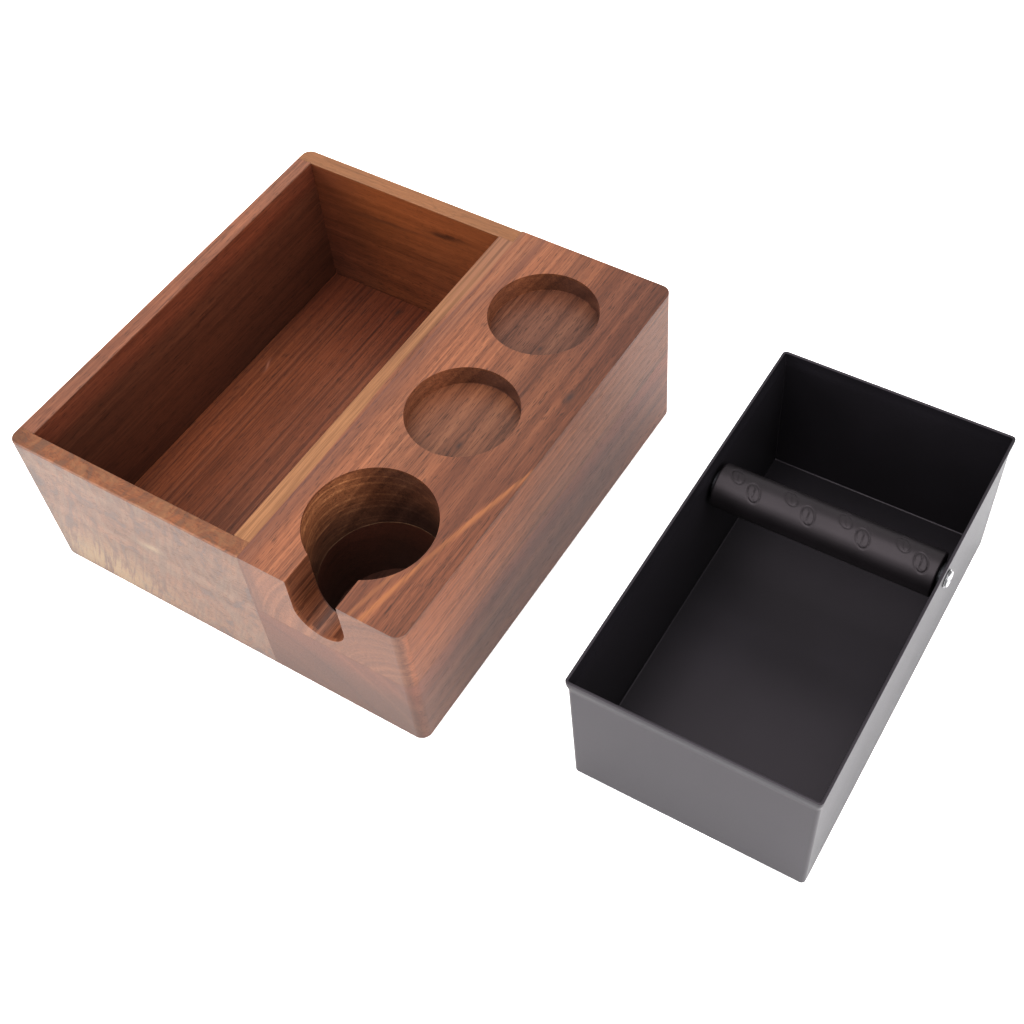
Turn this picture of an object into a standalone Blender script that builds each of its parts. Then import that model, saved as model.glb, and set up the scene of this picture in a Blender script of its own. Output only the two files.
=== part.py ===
"""Walnut tamping station with a loose knock bin standing beside it.

Units are metres, +Z is up. X runs across the station towards the bin, Y from the front to the back.
The origin is the middle of the footprint of the station and the bin together, on the table. The
bin stands turned by BIN_TURN from square.
"""
import math

import bmesh
import bpy
from mathutils import Matrix, Vector

# Station: outer sizes and boards
STATION_WIDTH = 0.250
STATION_DEPTH = 0.260
STATION_TOP = 0.0985
FOOT_PROUD = 0.0012
BOARD = 0.010
BLOCK_LEFT = 0.1435
LAP_END = 0.153
SLAB_JOINT = 0.053
CORNER_RADIUS = 0.006
EDGE_RADIUS = 0.0012
GAP = 0.0003

# Compartment floor, held by a tongue in a groove
FLOOR_TOP = 0.010
TONGUE_LOW = 0.0040
TONGUE_HIGH = 0.0075
TONGUE_REACH = 0.003

# Wells and the handle slot in the block
WELL_X = 0.1975
SHALLOW_WELL_RADIUS = 0.0305
SHALLOW_WELL_DEPTH = 0.0122
SHALLOW_WELLS_Y = (0.1311, 0.2106)
DEEP_WELL_RADIUS = 0.0343
DEEP_WELL_Y = 0.0493
DEEP_WELL_FLOOR = 0.010
WELL_CHAMFER = 0.0007
SLOT_RADIUS = 0.01525
SLOT_LOWEST = 0.0612

# Glued-corner dowels and feet
DOWEL_RADIUS = 0.0025
DOWEL_IN_WALL = 0.006
DOWEL_IN_END = 0.013
DOWEL_HEIGHTS = (0.030, 0.075)
FOOT_RADIUS = 0.007
FOOT_HEIGHT = 0.0025
FOOT_INSET = 0.022
FOOT_EASE = 0.0005

# Bin: outer half sizes of the straight wall, its rim and its shell
BIN_CENTRE_X = 0.3855
BIN_CENTRE_Y = 0.1418
BIN_TURN = math.radians(1.0)
BIN_HEIGHT = 0.0885
BIN_HALF_WIDTH = 0.0635
BIN_HALF_DEPTH = 0.1159
BIN_DRAFT = 0.0002
BIN_WALL = 0.0015
BIN_CORNER_RADIUS = 0.0022
BIN_FOOT_RADIUS = 0.0018
RIM_FLARE = 0.0009
RIM_HEIGHT = 0.009
RIM_UPRIGHT = 0.2
RIM_RINGS = 5

# Knock bar across the bin
BAR_Y = 0.0335
BAR_HEIGHT = 0.0690
CORE_RADIUS = 0.006
SLEEVE_RADIUS = 0.012
SLEEVE_HALF_LENGTH = 0.0597
SLEEVE_EASE = 0.0008
CORE_HALF_LENGTH = 0.0602
SPACER_RADIUS = 0.0075
SPACER_THICKNESS = 0.0010
TAP_DEPTH = 0.014
SHANK_RADIUS = 0.0027
SHANK_LENGTH = 0.0135
WASHER_RADIUS = 0.0049
WASHER_THICKNESS = 0.0005
HEAD_RADIUS = 0.0044
HEAD_HEIGHT = 0.0015
HEAD_EDGE_SHARE = 0.35
HEAD_STEPS = 5
SHANK_POINT = 0.0008
RECESS_WIDTH = 0.0012
RECESS_LENGTH = 0.0046
RECESS_DEPTH = 0.0008

# Sizes are laid out from the station's front-left corner, and the whole layout is then centred
WALL_AT_BAR = BIN_HALF_WIDTH - BIN_DRAFT * (1 - BAR_HEIGHT / BIN_HEIGHT)
WASHER_LOW = WALL_AT_BAR + GAP
HEAD_LOW = WASHER_LOW + WASHER_THICKNESS + GAP
HEAD_HIGH = HEAD_LOW + HEAD_HEIGHT
HEAD_REACH = HEAD_HIGH * math.cos(BIN_TURN) - BAR_Y * math.sin(BIN_TURN)
RIM_HALF_WIDTH = BIN_HALF_WIDTH + RIM_FLARE - BIN_CORNER_RADIUS
RIM_HALF_DEPTH = BIN_HALF_DEPTH + RIM_FLARE - BIN_CORNER_RADIUS
CORNER_REACH = RIM_HALF_WIDTH * math.cos(BIN_TURN) + RIM_HALF_DEPTH * math.sin(BIN_TURN)
LAYOUT_LENGTH = BIN_CENTRE_X + max(HEAD_REACH, CORNER_REACH + BIN_CORNER_RADIUS)
CENTRE_X = LAYOUT_LENGTH / 2
CENTRE_Y = STATION_DEPTH / 2

# Steps round each kind of turned or rounded shape
ROUND_SEGMENTS = 48
WASHER_SEGMENTS = 32
ROD_SEGMENTS = 24
HOLE_SEGMENTS = 20
PIN_SEGMENTS = 12
CORNER_SEGMENTS = 4
EDGE_SEGMENTS = 2
BIN_CORNER_SEGMENTS = 5
BIN_FOOT_SEGMENTS = 3

CUT_MARGIN = 0.01  # how far a cutter runs past what it cuts
SMOOTH_ANGLE = 35
MERGE = 0.00001

COLLECTION = "tamping_station"

MATERIALS = {
    "walnut_top": ((0.33, 0.16, 0.09, 1), 0.42, 0.0),
    "walnut_base": ((0.22, 0.12, 0.09, 1), 0.42, 0.0),
    "walnut_burl": ((0.34, 0.20, 0.13, 1), 0.40, 0.0),
    "walnut_back": ((0.31, 0.15, 0.08, 1), 0.45, 0.0),
    "walnut_side": ((0.26, 0.12, 0.07, 1), 0.45, 0.0),
    "walnut_floor": ((0.25, 0.11, 0.07, 1), 0.45, 0.0),
    "dowel_beech": ((0.62, 0.44, 0.27, 1), 0.60, 0.0),
    "foot_rubber": ((0.03, 0.03, 0.03, 1), 0.80, 0.0),
    "bin_plastic": ((0.018, 0.018, 0.020, 1), 0.38, 0.0),
    "bar_rubber": ((0.022, 0.021, 0.022, 1), 0.60, 0.0),
    "rod_steel": ((0.06, 0.06, 0.065, 1), 0.40, 1.0),
    "screw_steel": ((0.75, 0.75, 0.76, 1), 0.18, 1.0),
}


def clear_scene():
    for obj in list(bpy.data.objects):
        bpy.data.objects.remove(obj, do_unlink=True)


def new_collection(name):
    collection = bpy.data.collections.new(name)
    bpy.context.scene.collection.children.link(collection)
    return collection


def material(name):
    colour, roughness, metallic = MATERIALS[name]
    mat = bpy.data.materials.new(name)
    mat.use_nodes = True
    shader = mat.node_tree.nodes["Principled BSDF"]
    shader.inputs["Base Color"].default_value = colour
    shader.inputs["Roughness"].default_value = roughness
    shader.inputs["Metallic"].default_value = metallic
    mat.diffuse_color = colour
    return mat


def from_layout(x, y, z):
    """A point given from the station's front-left corner, in the part's own frame."""
    return Vector((x - CENTRE_X, y - CENTRE_Y, z))


def finish(bm, name, collection, place, smooth=False):
    mesh = bpy.data.meshes.new(name)
    bm.to_mesh(mesh)
    bm.free()
    if smooth:
        mesh.shade_smooth()
        mesh.set_sharp_from_angle(angle=math.radians(SMOOTH_ANGLE))
    obj = bpy.data.objects.new(name, mesh)
    obj.location = place
    collection.objects.link(obj)
    if collection is CUTTERS:
        obj.hide_render = True
        obj.display_type = "WIRE"
    return obj


def box_bmesh(size):
    bm = bmesh.new()
    bmesh.ops.create_cube(bm, size=1.0, matrix=Matrix.Diagonal((size[0], size[1], size[2], 1)))
    return bm


def box(name, low, high, collection):
    """A box between two layout corners."""
    low = from_layout(*low)
    high = from_layout(*high)
    return finish(box_bmesh(high - low), name, collection, (low + high) / 2)


def round_edges(bm, wanted, radius, segments):
    """Round the edges whose middle and direction the test accepts."""
    edges = []
    for edge in bm.edges:
        middle = (edge.verts[0].co + edge.verts[1].co) / 2
        along = (edge.verts[1].co - edge.verts[0].co).normalized()
        if wanted(middle, along):
            edges.append(edge)
    bmesh.ops.bevel(bm, geom=edges, offset=radius, offset_type="OFFSET", segments=segments,
                    profile=0.5, affect="EDGES", clamp_overlap=True)


def rounded_box(name, low, high, collection, corners, top_edges):
    """A box whose named outer corners are rounded upright and whose outer top edges are eased.

    corners holds pairs of signs, such as (-1, 1) for the left back corner, and top_edges holds
    the sides whose top edge is eased, as outward signs (x, y)."""
    low = from_layout(*low)
    high = from_layout(*high)
    half = (high - low) / 2
    bm = box_bmesh(high - low)

    def upright_corner(middle, along):
        sides = (round(middle.x / half.x), round(middle.y / half.y))
        return abs(along.z) > 0.9 and sides in corners

    def at_corner(point):
        for sign_x, sign_y in corners:
            past_x = point.x * sign_x > half.x - CORNER_RADIUS
            past_y = point.y * sign_y > half.y - CORNER_RADIUS
            if past_x and past_y:
                return True
        return False

    def on_side(point, side):
        if side[0]:
            return point.x * side[0] > half.x - MERGE
        return point.y * side[1] > half.y - MERGE

    def eased_top(middle, along):
        if middle.z < half.z - MERGE or abs(along.z) > 0.1:
            return False
        return at_corner(middle) or any(on_side(middle, side) for side in top_edges)

    if corners:
        round_edges(bm, upright_corner, CORNER_RADIUS, CORNER_SEGMENTS)
    round_edges(bm, eased_top, EDGE_RADIUS, EDGE_SEGMENTS)
    return finish(bm, name, collection, (low + high) / 2)


def cylinder(name, centre, axis, radius, length, collection, segments=HOLE_SEGMENTS):
    """A cylinder along X, Y or Z about a layout point."""
    bm = bmesh.new()
    bmesh.ops.create_cone(bm, cap_ends=True, segments=segments, radius1=radius, radius2=radius,
                          depth=length)
    obj = finish(bm, name, collection, from_layout(*centre), smooth=True)
    obj.rotation_euler = axis_rotation(axis)
    return obj


def axis_rotation(axis):
    """The turn that points a piece's own Z along an axis."""
    quarter = math.pi / 2
    turns = {"X": (0, quarter, 0), "-X": (0, -quarter, 0), "Y": (-quarter, 0, 0), "Z": (0, 0, 0)}
    return turns[axis]


def turned(name, profile, place, collection, axis="Z", steps=ROUND_SEGMENTS, closed=False):
    """A turned piece. The profile holds (radius, height) points from its top to its bottom."""
    bm = bmesh.new()
    verts = [bm.verts.new((radius, 0, height)) for radius, height in profile]
    for first, second in zip(verts, verts[1:]):
        bm.edges.new((first, second))
    if closed:
        bm.edges.new((verts[-1], verts[0]))
    obj = finish(bm, name, collection, place)
    obj.rotation_euler = axis_rotation(axis)
    screw = obj.modifiers.new("Screw", "SCREW")
    screw.axis = "Z"
    screw.steps = steps
    screw.render_steps = steps
    screw.use_merge_vertices = True
    screw.merge_threshold = MERGE
    screw.use_smooth_shade = True
    return obj


def boolean(obj, other, operation="DIFFERENCE"):
    modifier = obj.modifiers.new(other.name, "BOOLEAN")
    modifier.operation = operation
    modifier.solver = "EXACT"
    modifier.object = other


def paint(obj, material_name):
    obj.data.materials.append(material(material_name))
    return obj


# Station ------------------------------------------------------------------------------------

def groove(name, low, high):
    """The floor's groove, a clearance larger than the tongue all round."""
    low = (low[0] - GAP, low[1] - GAP, TONGUE_LOW - GAP)
    high = (high[0] + GAP, high[1] + GAP, TONGUE_HIGH + GAP)
    return box(name, low, high, CUTTERS)


def foot_places():
    right = STATION_WIDTH - FOOT_INSET
    back = STATION_DEPTH - FOOT_INSET
    return {
        "foot_front_left": (FOOT_INSET, FOOT_INSET),
        "foot_back_left": (FOOT_INSET, back),
        "foot_front_right": (right, FOOT_INSET),
        "foot_back_right": (right, back),
    }


def dowel_places():
    """Each dowel's node name, its middle and its half length, along Y across a board's face."""
    places = {}
    length = DOWEL_IN_WALL + DOWEL_IN_END
    side_x = BOARD / 2
    lap_x = (BLOCK_LEFT + LAP_END) / 2
    for end, face, inward in (("front", BOARD, 1), ("back", STATION_DEPTH - BOARD, -1)):
        middle_y = face + inward * (DOWEL_IN_END - DOWEL_IN_WALL) / 2
        for corner, x in (("left", side_x), ("lap", lap_x)):
            for level, z in zip(("low", "high"), DOWEL_HEIGHTS):
                places["dowel_%s_%s_%s" % (end, corner, level)] = ((x, middle_y, z), length)
    return places


def dowel_hole(name, place, length):
    return cylinder("hole_" + name, place, "Y", DOWEL_RADIUS + GAP, length + 2 * GAP, CUTTERS)


def cut_dowels(obj, end, corner, levels=("low", "high")):
    for level in levels:
        boolean(obj, DOWEL_HOLES["dowel_%s_%s_%s" % (end, corner, level)])


def thin_boards():
    """The front, back and side walls of the compartment."""
    tongue_left = BOARD - TONGUE_REACH
    tongue_right = BLOCK_LEFT + TONGUE_REACH
    tongue_front = BOARD - TONGUE_REACH
    tongue_back = STATION_DEPTH - BOARD + TONGUE_REACH
    floor_groove = groove("floor_groove", (tongue_left, tongue_front, 0),
                          (tongue_right, tongue_back, 0))
    lap = LAP_END - GAP / 2

    front_high = (lap, BOARD - GAP / 2, STATION_TOP)
    front = rounded_box("front_board", (0, 0, FOOT_PROUD), front_high, PARTS,
                        {(-1, -1)}, {(0, -1), (-1, 0)})
    boolean(front, floor_groove)
    cut_dowels(front, "front", "left")
    cut_dowels(front, "front", "lap")
    paint(front, "walnut_burl")

    back_face = STATION_DEPTH - BOARD + GAP / 2
    back_high = (lap, STATION_DEPTH, STATION_TOP)
    back = rounded_box("back_board", (0, back_face, FOOT_PROUD), back_high, PARTS,
                       {(-1, 1)}, {(0, 1), (-1, 0)})
    boolean(back, floor_groove)
    cut_dowels(back, "back", "left")
    cut_dowels(back, "back", "lap")
    paint(back, "walnut_back")

    side_high = (BOARD, STATION_DEPTH - BOARD - GAP / 2, STATION_TOP)
    side = rounded_box("side_board", (0, BOARD + GAP / 2, FOOT_PROUD), side_high, PARTS,
                       set(), {(-1, 0)})
    boolean(side, floor_groove)
    cut_dowels(side, "front", "left")
    cut_dowels(side, "back", "left")
    paint(side, "walnut_side")
    return floor_groove


def floor_board():
    """The compartment's bottom: a board with a tongue round its edge."""
    low = (BOARD + GAP, BOARD + GAP, FOOT_PROUD)
    high = (BLOCK_LEFT - GAP, STATION_DEPTH - BOARD - GAP, FLOOR_TOP)
    board = box("floor_board", low, high, PARTS)
    tongue_low = (BOARD - TONGUE_REACH, BOARD - TONGUE_REACH, TONGUE_LOW)
    tongue_high = (BLOCK_LEFT + TONGUE_REACH, STATION_DEPTH - BOARD + TONGUE_REACH, TONGUE_HIGH)
    tongue = box("floor_tongue", tongue_low, tongue_high, CUTTERS)
    boolean(board, tongue, "UNION")
    for name in ("foot_front_left", "foot_back_left"):
        boolean(board, FOOT_RECESSES[name])
    paint(board, "walnut_floor")


def rebates():
    """The two steps in the block's left corners that take the ends of the thin boards."""
    below = -CUT_MARGIN
    above = STATION_TOP + CUT_MARGIN
    outside = 2 * CUT_MARGIN
    front = box("rebate_front", (BLOCK_LEFT - outside, -outside, below),
                (LAP_END + GAP / 2, BOARD + GAP / 2, above), CUTTERS)
    back = box("rebate_back", (BLOCK_LEFT - outside, STATION_DEPTH - BOARD - GAP / 2, below),
               (LAP_END + GAP / 2, STATION_DEPTH + outside, above), CUTTERS)
    return front, back


def well_cutter(name, y, radius, bottom):
    """A round well with an eased mouth."""
    above = STATION_TOP + CUT_MARGIN
    mouth = radius + WELL_CHAMFER
    profile = [(0, above), (mouth, above), (mouth, STATION_TOP),
               (radius, STATION_TOP - WELL_CHAMFER), (radius, bottom), (0, bottom)]
    return turned(name, profile, from_layout(WELL_X, y, 0), CUTTERS)


def slot_cutter():
    """The handle's way out of the deep well to the front: a round bottom and straight sides."""
    middle = SLOT_LOWEST + SLOT_RADIUS
    start = -CUT_MARGIN
    bm = bmesh.new()
    bmesh.ops.create_cone(bm, cap_ends=True, segments=ROUND_SEGMENTS, radius1=SLOT_RADIUS,
                          radius2=SLOT_RADIUS, depth=DEEP_WELL_Y - start)
    above = [vert for vert in bm.verts if vert.co.y > MERGE]
    for vert in above:
        vert.co.y += STATION_TOP - middle
    place = from_layout(WELL_X, (DEEP_WELL_Y + start) / 2, middle)
    slot = finish(bm, "handle_slot", CUTTERS, place)
    slot.rotation_euler = (math.pi / 2, 0, 0)
    return slot


def well_block(floor_groove):
    """The block's two slabs. The deep well goes through the upper one, far into the lower."""
    front_rebate, back_rebate = rebates()
    deep_well = well_cutter("deep_well", DEEP_WELL_Y, DEEP_WELL_RADIUS, DEEP_WELL_FLOOR)
    top = rounded_box("top_block", (BLOCK_LEFT, 0, SLAB_JOINT + GAP / 2),
                      (STATION_WIDTH, STATION_DEPTH, STATION_TOP), PARTS,
                      {(1, -1), (1, 1)}, {(0, -1), (0, 1), (1, 0)})
    boolean(top, front_rebate)
    boolean(top, back_rebate)
    for number, y in enumerate(SHALLOW_WELLS_Y, start=1):
        bottom = STATION_TOP - SHALLOW_WELL_DEPTH
        boolean(top, well_cutter("shallow_well_%d" % number, y, SHALLOW_WELL_RADIUS, bottom))
    boolean(top, deep_well)
    boolean(top, slot_cutter())
    cut_dowels(top, "front", "lap", ("high",))
    cut_dowels(top, "back", "lap", ("high",))
    paint(top, "walnut_top")

    base_high = (STATION_WIDTH, STATION_DEPTH, SLAB_JOINT - GAP / 2)
    base = rounded_box("base_block", (BLOCK_LEFT, 0, FOOT_PROUD), base_high, PARTS,
                       {(1, -1), (1, 1)}, set())
    boolean(base, deep_well)
    boolean(base, front_rebate)
    boolean(base, back_rebate)
    boolean(base, floor_groove)
    cut_dowels(base, "front", "lap", ("low",))
    cut_dowels(base, "back", "lap", ("low",))
    for name in ("foot_front_right", "foot_back_right"):
        boolean(base, FOOT_RECESSES[name])
    paint(base, "walnut_base")


def dowels():
    for name, (place, length) in dowel_places().items():
        pin = cylinder(name, place, "Y", DOWEL_RADIUS, length, PARTS, PIN_SEGMENTS)
        paint(pin, "dowel_beech")


def feet():
    profile = [(0, FOOT_HEIGHT), (FOOT_RADIUS, FOOT_HEIGHT), (FOOT_RADIUS, FOOT_EASE),
               (FOOT_RADIUS - FOOT_EASE, 0), (0, 0)]
    for name, (x, y) in foot_places().items():
        foot = turned(name, profile, from_layout(x, y, 0), PARTS, steps=ROD_SEGMENTS)
        paint(foot, "foot_rubber")


# Bin ----------------------------------------------------------------------------------------

def rim_offset(z):
    """How far the wall leans out at a height: a small draft, then a flare to an upright edge."""
    draft = -BIN_DRAFT * (1 - z / BIN_HEIGHT)
    flare_height = RIM_HEIGHT * (1 - RIM_UPRIGHT)
    into_flare = (z - (BIN_HEIGHT - RIM_HEIGHT)) / flare_height
    into_flare = min(max(into_flare, 0.0), 1.0)
    return draft + RIM_FLARE * math.sin(into_flare * math.pi / 2) ** 2


def bin_shell():
    """An open box with rounded corners and a flared rim, thickened inwards."""
    size = (2 * BIN_HALF_WIDTH, 2 * BIN_HALF_DEPTH, BIN_HEIGHT)
    bm = box_bmesh(size)
    bmesh.ops.translate(bm, verts=bm.verts, vec=(0, 0, BIN_HEIGHT / 2))
    lid = [face for face in bm.faces if face.normal.z > 0.9]
    bmesh.ops.delete(bm, geom=lid, context="FACES_ONLY")
    round_edges(bm, lambda middle, along: abs(along.z) > 0.9,
                BIN_CORNER_RADIUS, BIN_CORNER_SEGMENTS)
    round_edges(bm, lambda middle, along: middle.z < MERGE and abs(along.z) < 0.1,
                BIN_FOOT_RADIUS, BIN_FOOT_SEGMENTS)
    for ring in range(RIM_RINGS):
        height = BIN_HEIGHT - RIM_HEIGHT * (1 - ring / RIM_RINGS)
        bmesh.ops.bisect_plane(bm, geom=bm.verts[:] + bm.edges[:] + bm.faces[:], dist=MERGE,
                               plane_co=(0, 0, height), plane_no=(0, 0, 1))
    for vert in bm.verts:
        offset = rim_offset(vert.co.z)
        vert.co.x *= 1 + offset / BIN_HALF_WIDTH
        vert.co.y *= 1 + offset / BIN_HALF_DEPTH
    shell = finish(bm, "bin_shell", PARTS, (0, 0, 0), smooth=True)
    shell.parent = BIN
    wall = shell.modifiers.new("Wall", "SOLIDIFY")
    wall.thickness = BIN_WALL
    wall.offset = -1
    wall.use_even_offset = True
    for side, sign in (("left", -1), ("right", 1)):
        hole = cylinder("screw_hole_" + side, (0, 0, 0), "X", SHANK_RADIUS + 2 * GAP,
                        2 * CUT_MARGIN, CUTTERS)
        hole.location = (sign * BIN_HALF_WIDTH, BAR_Y, BAR_HEIGHT)
        hole.parent = BIN
        boolean(shell, hole)
    paint(shell, "bin_plastic")


def on_bar(name, profile, side="X", closed=False, steps=ROUND_SEGMENTS):
    """A turned piece on the knock bar's axis. Its profile's height runs along the axis."""
    obj = turned(name, profile, (0, BAR_Y, BAR_HEIGHT), PARTS, axis=side, steps=steps,
                 closed=closed)
    obj.parent = BIN
    return obj


def ring(outer, inner, low, high):
    return [(outer, high), (outer, low), (inner, low), (inner, high)]


def knock_bar():
    tap = SHANK_RADIUS + GAP
    end = CORE_HALF_LENGTH
    tap_end = end - TAP_DEPTH
    core_profile = [(0, tap_end), (tap, tap_end), (tap, end), (CORE_RADIUS, end),
                    (CORE_RADIUS, -end), (tap, -end), (tap, -tap_end), (0, -tap_end)]
    paint(on_bar("bar_core", core_profile, steps=ROD_SEGMENTS), "rod_steel")
    end = SLEEVE_HALF_LENGTH
    inner = CORE_RADIUS + GAP
    eased = SLEEVE_RADIUS - SLEEVE_EASE
    sleeve_profile = [(eased, end), (SLEEVE_RADIUS, end - SLEEVE_EASE),
                      (SLEEVE_RADIUS, SLEEVE_EASE - end), (eased, -end), (inner, -end),
                      (inner, end)]
    paint(on_bar("bar_sleeve", sleeve_profile, closed=True), "bar_rubber")


def head_profile():
    """A pan head: a quarter-ellipse crown down to a short upright edge."""
    edge_height = HEAD_HEIGHT * HEAD_EDGE_SHARE
    points = []
    for step in range(HEAD_STEPS + 1):
        angle = step / HEAD_STEPS * math.pi / 2
        height = edge_height + (HEAD_HEIGHT - edge_height) * math.cos(angle)
        points.append((HEAD_RADIUS * math.sin(angle), HEAD_LOW + height))
    return points + [(HEAD_RADIUS, HEAD_LOW)]


def bar_fixings():
    """Each end's spacer inside the wall, and the washer and screw outside it."""
    clearance = SHANK_RADIUS + GAP
    spacer_low = CORE_HALF_LENGTH + GAP
    spacer_ring = ring(SPACER_RADIUS, clearance, spacer_low, spacer_low + SPACER_THICKNESS)
    washer_ring = ring(WASHER_RADIUS, clearance, WASHER_LOW, WASHER_LOW + WASHER_THICKNESS)
    shank_low = HEAD_LOW - SHANK_LENGTH
    screw_profile = head_profile() + [
        (SHANK_RADIUS, HEAD_LOW), (SHANK_RADIUS, shank_low + SHANK_POINT),
        (SHANK_RADIUS - SHANK_POINT, shank_low), (0, shank_low)]
    for name, side in (("right", "X"), ("left", "-X")):
        spacer = on_bar("bar_spacer_" + name, spacer_ring, side, closed=True, steps=ROD_SEGMENTS)
        paint(spacer, "rod_steel")
        washer = on_bar("screw_washer_" + name, washer_ring, side, closed=True,
                        steps=WASHER_SEGMENTS)
        paint(washer, "screw_steel")
        screw = on_bar("bar_screw_" + name, screw_profile, side, steps=ROD_SEGMENTS)
        for turn, angle in (("a", math.pi / 4), ("b", -math.pi / 4)):
            recess = cross_bar("recess_%s_%s" % (name, turn), side, angle)
            boolean(screw, recess)
        paint(screw, "screw_steel")


def cross_bar(name, side, angle):
    """One arm of a screw head's cross recess."""
    bm = box_bmesh((RECESS_LENGTH, RECESS_WIDTH, 2 * RECESS_DEPTH))
    bmesh.ops.rotate(bm, verts=bm.verts, cent=(0, 0, 0), matrix=Matrix.Rotation(angle, 3, "Z"))
    bmesh.ops.translate(bm, verts=bm.verts, vec=(0, 0, HEAD_HIGH))
    recess = finish(bm, name, CUTTERS, (0, BAR_Y, BAR_HEIGHT))
    recess.rotation_euler = axis_rotation(side)
    recess.parent = BIN
    return recess


clear_scene()
PARTS = new_collection(COLLECTION)
CUTTERS = new_collection(COLLECTION + "_cutters")

BIN = bpy.data.objects.new("bin_placement", None)
BIN.location = from_layout(BIN_CENTRE_X, BIN_CENTRE_Y, 0)
BIN.rotation_euler = (0, 0, BIN_TURN)
PARTS.objects.link(BIN)

DOWEL_HOLES = {name: dowel_hole(name, *place) for name, place in dowel_places().items()}
FOOT_RECESSES = {
    name: cylinder("recess_" + name, (x, y, FOOT_HEIGHT / 2), "Z", FOOT_RADIUS + GAP,
                   FOOT_HEIGHT + 2 * GAP, CUTTERS, ROD_SEGMENTS)
    for name, (x, y) in foot_places().items()
}

well_block(thin_boards())
floor_board()
dowels()
feet()
bin_shell()
knock_bar()
bar_fixings()
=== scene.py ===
"""The look of a walnut tamping station and its knock bin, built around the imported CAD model.

Lengths are metres in the model's own frame. Wood figures are laid out in millimetres from the
station's front-left corner on the table.
"""

import math

import bmesh
import bpy
from mathutils import Euler, Matrix, Vector


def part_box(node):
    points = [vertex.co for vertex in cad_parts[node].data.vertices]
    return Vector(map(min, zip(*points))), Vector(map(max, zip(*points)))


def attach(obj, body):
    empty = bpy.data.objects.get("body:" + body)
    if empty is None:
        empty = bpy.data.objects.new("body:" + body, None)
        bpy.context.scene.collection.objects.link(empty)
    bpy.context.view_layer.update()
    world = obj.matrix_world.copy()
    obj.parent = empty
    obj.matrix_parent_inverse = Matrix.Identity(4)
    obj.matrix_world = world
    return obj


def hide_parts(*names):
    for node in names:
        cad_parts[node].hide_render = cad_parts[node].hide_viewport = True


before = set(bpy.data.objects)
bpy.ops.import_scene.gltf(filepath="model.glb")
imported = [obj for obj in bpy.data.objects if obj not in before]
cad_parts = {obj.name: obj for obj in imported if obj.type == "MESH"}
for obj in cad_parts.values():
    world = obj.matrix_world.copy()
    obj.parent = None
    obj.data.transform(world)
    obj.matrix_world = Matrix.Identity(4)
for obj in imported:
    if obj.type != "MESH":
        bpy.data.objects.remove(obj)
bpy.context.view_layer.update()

MM = 0.001
SEAM = 0.00003          # half the width left open at a glued joint
MERGE = 0.000002
NEAR = 0.0002           # how close to a plane counts as on it
ALONG = 0.9             # the share of an edge's direction from which it runs along an axis
SMOOTH_ANGLE = 34
NORMAL_WEIGHT = 80      # how far larger faces lead where normals are averaged

# Station ---------------------------------------------------------

FRONT_LOW, FRONT_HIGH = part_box("front_board")
BACK_LOW, BACK_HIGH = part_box("back_board")
SIDE_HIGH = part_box("side_board")[1]
TOP_LOW, TOP_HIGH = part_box("top_block")
BASE_LOW, BASE_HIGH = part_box("base_block")
FLOOR_LOW, FLOOR_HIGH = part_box("floor_board")

LEFT = FRONT_LOW.x
FRONT = FRONT_LOW.y
BACK = BACK_HIGH.y
RIGHT = TOP_HIGH.x
TOP = TOP_HIGH.z
UNDERSIDE = BASE_LOW.z
GAP = TOP_LOW.z - BASE_HIGH.z
SLAB_JOINT = (TOP_LOW.z + BASE_HIGH.z) / 2
LAP_END = FRONT_HIGH.x + GAP / 2
BOARD_FRONT = FRONT_HIGH.y + GAP / 2
BOARD_BACK = BACK_LOW.y - GAP / 2
BOARD_LEFT = SIDE_HIGH.x
BLOCK_LEFT = TOP_LOW.x
CORNER = Vector((LEFT, FRONT, 0))

CORNER_RADIUS = 0.006
CORNER_STEPS = 12
EDGE_RADIUS = 0.0012
EDGE_STEPS = 4

WELL_X = LEFT + 0.1975
SHALLOW_WELLS = (FRONT + 0.1311, FRONT + 0.2106)
SHALLOW_RADIUS = 0.0305
SHALLOW_FLOOR = TOP - 0.0122
DEEP_WELL = FRONT + 0.0493
DEEP_RADIUS = 0.0343
DEEP_FLOOR = 0.010
SLOT_RADIUS = 0.01525
SLOT_MIDDLE = 0.0612 + SLOT_RADIUS
RIM_REACH = 0.0005      # how far past a well's radius its rim's edges may lie
SLOT_REACH = 0.0003     # the same for half the slot's width
WELL_STEPS = 128
DOWEL_STEPS = 20
FOOT_STEPS = 32
PAST = 0.012            # how far a cutter runs past what it cuts
CLEARANCE = 0.00015
TONGUE_LOW = 0.0040
TONGUE_HIGH = 0.0075
INNER_EASE = 0.55       # shares of EDGE_RADIUS
BOTTOM_EASE = 0.45


def add_object(name, bm):
    """Turn a bmesh into an object in the scene."""
    mesh = bpy.data.meshes.new(name)
    bmesh.ops.recalc_face_normals(bm, faces=bm.faces)
    bm.to_mesh(mesh)
    bm.free()
    obj = bpy.data.objects.new(name, mesh)
    bpy.context.scene.collection.objects.link(obj)
    return obj


def settle(obj):
    """Turn an object's modifiers into its mesh."""
    bpy.context.view_layer.update()
    graph = bpy.context.evaluated_depsgraph_get()
    mesh = bpy.data.meshes.new_from_object(obj.evaluated_get(graph))
    obj.modifiers.clear()
    obj.data = mesh
    return obj


def even_normals(obj, weight=50):
    """Shade an object smooth, with its flat faces left flat beside rounded edges."""
    obj.data.shade_smooth()
    obj.data.set_sharp_from_angle(angle=math.radians(SMOOTH_ANGLE))
    normals = obj.modifiers.new("normals", "WEIGHTED_NORMAL")
    normals.keep_sharp = True
    normals.weight = weight
    settle(obj)


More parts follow.
